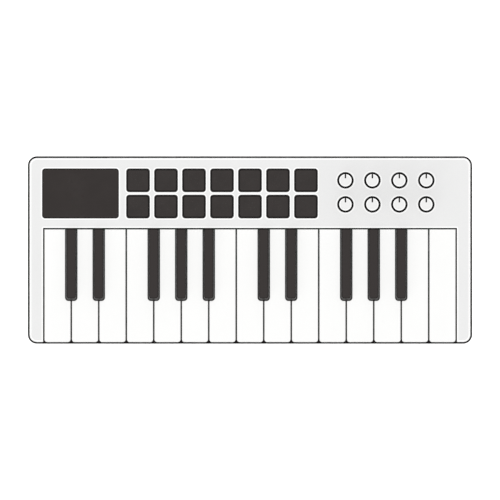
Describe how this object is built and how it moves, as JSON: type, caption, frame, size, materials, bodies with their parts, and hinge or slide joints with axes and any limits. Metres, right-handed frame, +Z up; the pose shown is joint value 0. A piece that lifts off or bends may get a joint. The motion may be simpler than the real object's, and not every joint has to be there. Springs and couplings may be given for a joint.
{
  "type": "midi keyboard",
  "caption": "Slim two-octave controller keyboard with sprung keys that pivot on a common rod, rubber drum pads, turning knobs, a display window and a square data socket at the back.",
  "frame": {"origin": "on the table under the middle of the case", "axes": "+X along the keys from the low notes to the high ones, +Y from the player to the back, +Z up"},
  "size_m": [0.323, 0.1362, 0.0442],
  "materials": {
    "light_plastic": "fine texture",
    "dark_plastic": "fine texture",
    "white_plastic": "semi-gloss",
    "black_plastic": "satin",
    "pad_rubber": "matte",
    "knob_rubber": "soft touch",
    "smoked_acrylic": "polished",
    "dark_glass": "polished",
    "frame_plastic": "as moulded",
    "steel": "drawn",
    "nickel": "plated",
    "circuit_board": "solder mask",
    "dome_rubber": "matte",
    "dark_felt": "felt",
    "foot_rubber": "matte"
  },
  "bodies": {
    "housing": {"top_case": "light_plastic", "bottom_case": "dark_plastic", "key_frame": "frame_plastic", "pivot_rod": "steel", "contact_board": "circuit_board", "contact_strip": "dome_rubber", "stop_felt": "dark_felt", "display_window": "smoked_acrylic", "display_module": "dark_glass", "control_board": "circuit_board", "usb_socket": "nickel", "front_foot": "foot_rubber", "rear_foot": "foot_rubber"},
    "white_key_c1": {"white_key_c1": "white_plastic"},
    "white_key_d1": {"white_key_d1": "white_plastic"},
    "white_key_e1": {"white_key_e1": "white_plastic"},
    "white_key_f1": {"white_key_f1": "white_plastic"},
    "white_key_g1": {"white_key_g1": "white_plastic"},
    "white_key_a1": {"white_key_a1": "white_plastic"},
    "white_key_b1": {"white_key_b1": "white_plastic"},
    "white_key_c2": {"white_key_c2": "white_plastic"},
    "white_key_d2": {"white_key_d2": "white_plastic"},
    "white_key_e2": {"white_key_e2": "white_plastic"},
    "white_key_f2": {"white_key_f2": "white_plastic"},
    "white_key_g2": {"white_key_g2": "white_plastic"},
    "white_key_a2": {"white_key_a2": "white_plastic"},
    "white_key_b2": {"white_key_b2": "white_plastic"},
    "white_key_c3": {"white_key_c3": "white_plastic"},
    "black_key_c_sharp1": {"black_key_c_sharp1": "black_plastic"},
    "black_key_d_sharp1": {"black_key_d_sharp1": "black_plastic"},
    "black_key_f_sharp1": {"black_key_f_sharp1": "black_plastic"},
    "black_key_g_sharp1": {"black_key_g_sharp1": "black_plastic"},
    "black_key_a_sharp1": {"black_key_a_sharp1": "black_plastic"},
    "black_key_c_sharp2": {"black_key_c_sharp2": "black_plastic"},
    "black_key_d_sharp2": {"black_key_d_sharp2": "black_plastic"},
    "black_key_f_sharp2": {"black_key_f_sharp2": "black_plastic"},
    "black_key_g_sharp2": {"black_key_g_sharp2": "black_plastic"},
    "black_key_a_sharp2": {"black_key_a_sharp2": "black_plastic"},
    "pad_01": {"pad_01": "pad_rubber"},
    "pad_02": {"pad_02": "pad_rubber"},
    "pad_03": {"pad_03": "pad_rubber"},
    "pad_04": {"pad_04": "pad_rubber"},
    "pad_05": {"pad_05": "pad_rubber"},
    "pad_06": {"pad_06": "pad_rubber"},
    "pad_07": {"pad_07": "pad_rubber"},
    "pad_08": {"pad_08": "pad_rubber"},
    "pad_09": {"pad_09": "pad_rubber"},
    "pad_10": {"pad_10": "pad_rubber"},
    "pad_11": {"pad_11": "pad_rubber"},
    "pad_12": {"pad_12": "pad_rubber"},
    "pad_13": {"pad_13": "pad_rubber"},
    "pad_14": {"pad_14": "pad_rubber"},
    "knob_1": {"knob_1": "knob_rubber"},
    "knob_2": {"knob_2": "knob_rubber"},
    "knob_3": {"knob_3": "knob_rubber"},
    "knob_4": {"knob_4": "knob_rubber"},
    "knob_5": {"knob_5": "knob_rubber"},
    "knob_6": {"knob_6": "knob_rubber"},
    "knob_7": {"knob_7": "knob_rubber"},
    "knob_8": {"knob_8": "knob_rubber"}
  },
  "joints": [
    {"name": "white_key_c1_press", "type": "hinge", "parent": "housing", "child": "white_key_c1", "pos_m": [-0.14, 0.04038, 0.0159], "axis": [1, 0, 0], "range_deg": [0, 1.87], "stiffness_Nm_per_rad": 0.8, "springref_deg": -1.43, "deforming": ["contact_strip"]},
    {"name": "white_key_d1_press", "type": "hinge", "parent": "housing", "child": "white_key_d1", "pos_m": [-0.12, 0.04038, 0.0159], "axis": [1, 0, 0], "range_deg": [0, 1.87], "stiffness_Nm_per_rad": 0.8, "springref_deg": -1.43, "deforming": ["contact_strip"]},
    {"name": "white_key_e1_press", "type": "hinge", "parent": "housing", "child": "white_key_e1", "pos_m": [-0.1, 0.04038, 0.0159], "axis": [1, 0, 0], "range_deg": [0, 1.87], "stiffness_Nm_per_rad": 0.8, "springref_deg": -1.43, "deforming": ["contact_strip"]},
    {"name": "white_key_f1_press", "type": "hinge", "parent": "housing", "child": "white_key_f1", "pos_m": [-0.08, 0.04038, 0.0159], "axis": [1, 0, 0], "range_deg": [0, 1.87], "stiffness_Nm_per_rad": 0.8, "springref_deg": -1.43, "deforming": ["contact_strip"]},
    {"name": "white_key_g1_press", "type": "hinge", "parent": "housing", "child": "white_key_g1", "pos_m": [-0.06, 0.04038, 0.0159], "axis": [1, 0, 0], "range_deg": [0, 1.87], "stiffness_Nm_per_rad": 0.8, "springref_deg": -1.43, "deforming": ["contact_strip"]},
    {"name": "white_key_a1_press", "type": "hinge", "parent": "housing", "child": "white_key_a1", "pos_m": [-0.04, 0.04038, 0.0159], "axis": [1, 0, 0], "range_deg": [0, 1.87], "stiffness_Nm_per_rad": 0.8, "springref_deg": -1.43, "deforming": ["contact_strip"]},
    {"name": "white_key_b1_press", "type": "hinge", "parent": "housing", "child": "white_key_b1", "pos_m": [-0.02, 0.04038, 0.0159], "axis": [1, 0, 0], "range_deg": [0, 1.87], "stiffness_Nm_per_rad": 0.8, "springref_deg": -1.43, "deforming": ["contact_strip"]},
    {"name": "white_key_c2_press", "type": "hinge", "parent": "housing", "child": "white_key_c2", "pos_m": [0, 0.04038, 0.0159], "axis": [1, 0, 0], "range_deg": [0, 1.87], "stiffness_Nm_per_rad": 0.8, "springref_deg": -1.43, "deforming": ["contact_strip"]},
    {"name": "white_key_d2_press", "type": "hinge", "parent": "housing", "child": "white_key_d2", "pos_m": [0.02, 0.04038, 0.0159], "axis": [1, 0, 0], "range_deg": [0, 1.87], "stiffness_Nm_per_rad": 0.8, "springref_deg": -1.43, "deforming": ["contact_strip"]},
    {"name": "white_key_e2_press", "type": "hinge", "parent": "housing", "child": "white_key_e2", "pos_m": [0.04, 0.04038, 0.0159], "axis": [1, 0, 0], "range_deg": [0, 1.87], "stiffness_Nm_per_rad": 0.8, "springref_deg": -1.43, "deforming": ["contact_strip"]},
    {"name": "white_key_f2_press", "type": "hinge", "parent": "housing", "child": "white_key_f2", "pos_m": [0.06, 0.04038, 0.0159], "axis": [1, 0, 0], "range_deg": [0, 1.87], "stiffness_Nm_per_rad": 0.8, "springref_deg": -1.43, "deforming": ["contact_strip"]},
    {"name": "white_key_g2_press", "type": "hinge", "parent": "housing", "child": "white_key_g2", "pos_m": [0.08, 0.04038, 0.0159], "axis": [1, 0, 0], "range_deg": [0, 1.87], "stiffness_Nm_per_rad": 0.8, "springref_deg": -1.43, "deforming": ["contact_strip"]},
    {"name": "white_key_a2_press", "type": "hinge", "parent": "housing", "child": "white_key_a2", "pos_m": [0.1, 0.04038, 0.0159], "axis": [1, 0, 0], "range_deg": [0, 1.87], "stiffness_Nm_per_rad": 0.8, "springref_deg": -1.43, "deforming": ["contact_strip"]},
    {"name": "white_key_b2_press", "type": "hinge", "parent": "housing", "child": "white_key_b2", "pos_m": [0.12, 0.04038, 0.0159], "axis": [1, 0, 0], "range_deg": [0, 1.87], "stiffness_Nm_per_rad": 0.8, "springref_deg": -1.43, "deforming": ["contact_strip"]},
    {"name": "white_key_c3_press", "type": "hinge", "parent": "housing", "child": "white_key_c3", "pos_m": [0.14, 0.04038, 0.0159], "axis": [1, 0, 0], "range_deg": [0, 1.87], "stiffness_Nm_per_rad": 0.8, "springref_deg": -1.43, "deforming": ["contact_strip"]},
    {"name": "black_key_c_sharp1_press", "type": "hinge", "parent": "housing", "child": "black_key_c_sharp1", "pos_m": [-0.13, 0.04038, 0.0159], "axis": [1, 0, 0], "range_deg": [0, 1.87], "stiffness_Nm_per_rad": 0.8, "springref_deg": -1.43, "deforming": ["contact_strip"]},
    {"name": "black_key_d_sharp1_press", "type": "hinge", "parent": "housing", "child": "black_key_d_sharp1", "pos_m": [-0.11, 0.04038, 0.0159], "axis": [1, 0, 0], "range_deg": [0, 1.87], "stiffness_Nm_per_rad": 0.8, "springref_deg": -1.43, "deforming": ["contact_strip"]},
    {"name": "black_key_f_sharp1_press", "type": "hinge", "parent": "housing", "child": "black_key_f_sharp1", "pos_m": [-0.07, 0.04038, 0.0159], "axis": [1, 0, 0], "range_deg": [0, 1.87], "stiffness_Nm_per_rad": 0.8, "springref_deg": -1.43, "deforming": ["contact_strip"]},
    {"name": "black_key_g_sharp1_press", "type": "hinge", "parent": "housing", "child": "black_key_g_sharp1", "pos_m": [-0.05, 0.04038, 0.0159], "axis": [1, 0, 0], "range_deg": [0, 1.87], "stiffness_Nm_per_rad": 0.8, "springref_deg": -1.43, "deforming": ["contact_strip"]},
    {"name": "black_key_a_sharp1_press", "type": "hinge", "parent": "housing", "child": "black_key_a_sharp1", "pos_m": [-0.03, 0.04038, 0.0159], "axis": [1, 0, 0], "range_deg": [0, 1.87], "stiffness_Nm_per_rad": 0.8, "springref_deg": -1.43, "deforming": ["contact_strip"]},
    {"name": "black_key_c_sharp2_press", "type": "hinge", "parent": "housing", "child": "black_key_c_sharp2", "pos_m": [0.01, 0.04038, 0.0159], "axis": [1, 0, 0], "range_deg": [0, 1.87], "stiffness_Nm_per_rad": 0.8, "springref_deg": -1.43, "deforming": ["contact_strip"]},
    {"name": "black_key_d_sharp2_press", "type": "hinge", "parent": "housing", "child": "black_key_d_sharp2", "pos_m": [0.03, 0.04038, 0.0159], "axis": [1, 0, 0], "range_deg": [0, 1.87], "stiffness_Nm_per_rad": 0.8, "springref_deg": -1.43, "deforming": ["contact_strip"]},
    {"name": "black_key_f_sharp2_press", "type": "hinge", "parent": "housing", "child": "black_key_f_sharp2", "pos_m": [0.07, 0.04038, 0.0159], "axis": [1, 0, 0], "range_deg": [0, 1.87], "stiffness_Nm_per_rad": 0.8, "springref_deg": -1.43, "deforming": ["contact_strip"]},
    {"name": "black_key_g_sharp2_press", "type": "hinge", "parent": "housing", "child": "black_key_g_sharp2", "pos_m": [0.09, 0.04038, 0.0159], "axis": [1, 0, 0], "range_deg": [0, 1.87], "stiffness_Nm_per_rad": 0.8, "springref_deg": -1.43, "deforming": ["contact_strip"]},
    {"name": "black_key_a_sharp2_press", "type": "hinge", "parent": "housing", "child": "black_key_a_sharp2", "pos_m": [0.11, 0.04038, 0.0159], "axis": [1, 0, 0], "range_deg": [0, 1.87], "stiffness_Nm_per_rad": 0.8, "springref_deg": -1.43, "deforming": ["contact_strip"]},
    {"name": "pad_01_press", "type": "slide", "parent": "housing", "child": "pad_01", "axis": [0, 0, -1], "range_m": [0, 0.001], "stiffness_N_per_m": 500, "springref_m": -0.001},
    {"name": "pad_02_press", "type": "slide", "parent": "housing", "child": "pad_02", "axis": [0, 0, -1], "range_m": [0, 0.001], "stiffness_N_per_m": 500, "springref_m": -0.001},
    {"name": "pad_03_press", "type": "slide", "parent": "housing", "child": "pad_03", "axis": [0, 0, -1], "range_m": [0, 0.001], "stiffness_N_per_m": 500, "springref_m": -0.001},
    {"name": "pad_04_press", "type": "slide", "parent": "housing", "child": "pad_04", "axis": [0, 0, -1], "range_m": [0, 0.001], "stiffness_N_per_m": 500, "springref_m": -0.001},
    {"name": "pad_05_press", "type": "slide", "parent": "housing", "child": "pad_05", "axis": [0, 0, -1], "range_m": [0, 0.001], "stiffness_N_per_m": 500, "springref_m": -0.001},
    {"name": "pad_06_press", "type": "slide", "parent": "housing", "child": "pad_06", "axis": [0, 0, -1], "range_m": [0, 0.001], "stiffness_N_per_m": 500, "springref_m": -0.001},
    {"name": "pad_07_press", "type": "slide", "parent": "housing", "child": "pad_07", "axis": [0, 0, -1], "range_m": [0, 0.001], "stiffness_N_per_m": 500, "springref_m": -0.001},
    {"name": "pad_08_press", "type": "slide", "parent": "housing", "child": "pad_08", "axis": [0, 0, -1], "range_m": [0, 0.001], "stiffness_N_per_m": 500, "springref_m": -0.001},
    {"name": "pad_09_press", "type": "slide", "parent": "housing", "child": "pad_09", "axis": [0, 0, -1], "range_m": [0, 0.001], "stiffness_N_per_m": 500, "springref_m": -0.001},
    {"name": "pad_10_press", "type": "slide", "parent": "housing", "child": "pad_10", "axis": [0, 0, -1], "range_m": [0, 0.001], "stiffness_N_per_m": 500, "springref_m": -0.001},
    {"name": "pad_11_press", "type": "slide", "parent": "housing", "child": "pad_11", "axis": [0, 0, -1], "range_m": [0, 0.001], "stiffness_N_per_m": 500, "springref_m": -0.001},
    {"name": "pad_12_press", "type": "slide", "parent": "housing", "child": "pad_12", "axis": [0, 0, -1], "range_m": [0, 0.001], "stiffness_N_per_m": 500, "springref_m": -0.001},
    {"name": "pad_13_press", "type": "slide", "parent": "housing", "child": "pad_13", "axis": [0, 0, -1], "range_m": [0, 0.001], "stiffness_N_per_m": 500, "springref_m": -0.001},
    {"name": "pad_14_press", "type": "slide", "parent": "housing", "child": "pad_14", "axis": [0, 0, -1], "range_m": [0, 0.001], "stiffness_N_per_m": 500, "springref_m": -0.001},
    {"name": "knob_1_turn", "type": "hinge", "parent": "housing", "child": "knob_1", "pos_m": [0.06941, 0.03318, 0.031], "axis": [0, 0, 1], "range_deg": [-150, 150]},
    {"name": "knob_2_turn", "type": "hinge", "parent": "housing", "child": "knob_2", "pos_m": [0.08901, 0.03318, 0.031], "axis": [0, 0, 1], "range_deg": [-150, 150]},
    {"name": "knob_3_turn", "type": "hinge", "parent": "housing", "child": "knob_3", "pos_m": [0.10861, 0.03318, 0.031], "axis": [0, 0, 1], "range_deg": [-150, 150]},
    {"name": "knob_4_turn", "type": "hinge", "parent": "housing", "child": "knob_4", "pos_m": [0.12821, 0.03318, 0.031], "axis": [0, 0, 1], "range_deg": [-150, 150]},
    {"name": "knob_5_turn", "type": "hinge", "parent": "housing", "child": "knob_5", "pos_m": [0.06941, 0.05067, 0.031], "axis": [0, 0, 1], "range_deg": [-150, 150]},
    {"name": "knob_6_turn", "type": "hinge", "parent": "housing", "child": "knob_6", "pos_m": [0.08901, 0.05067, 0.031], "axis": [0, 0, 1], "range_deg": [-150, 150]},
    {"name": "knob_7_turn", "type": "hinge", "parent": "housing", "child": "knob_7", "pos_m": [0.10861, 0.05067, 0.031], "axis": [0, 0, 1], "range_deg": [-150, 150]},
    {"name": "knob_8_turn", "type": "hinge", "parent": "housing", "child": "knob_8", "pos_m": [0.12821, 0.05067, 0.031], "axis": [0, 0, 1], "range_deg": [-150, 150]}
  ]
}
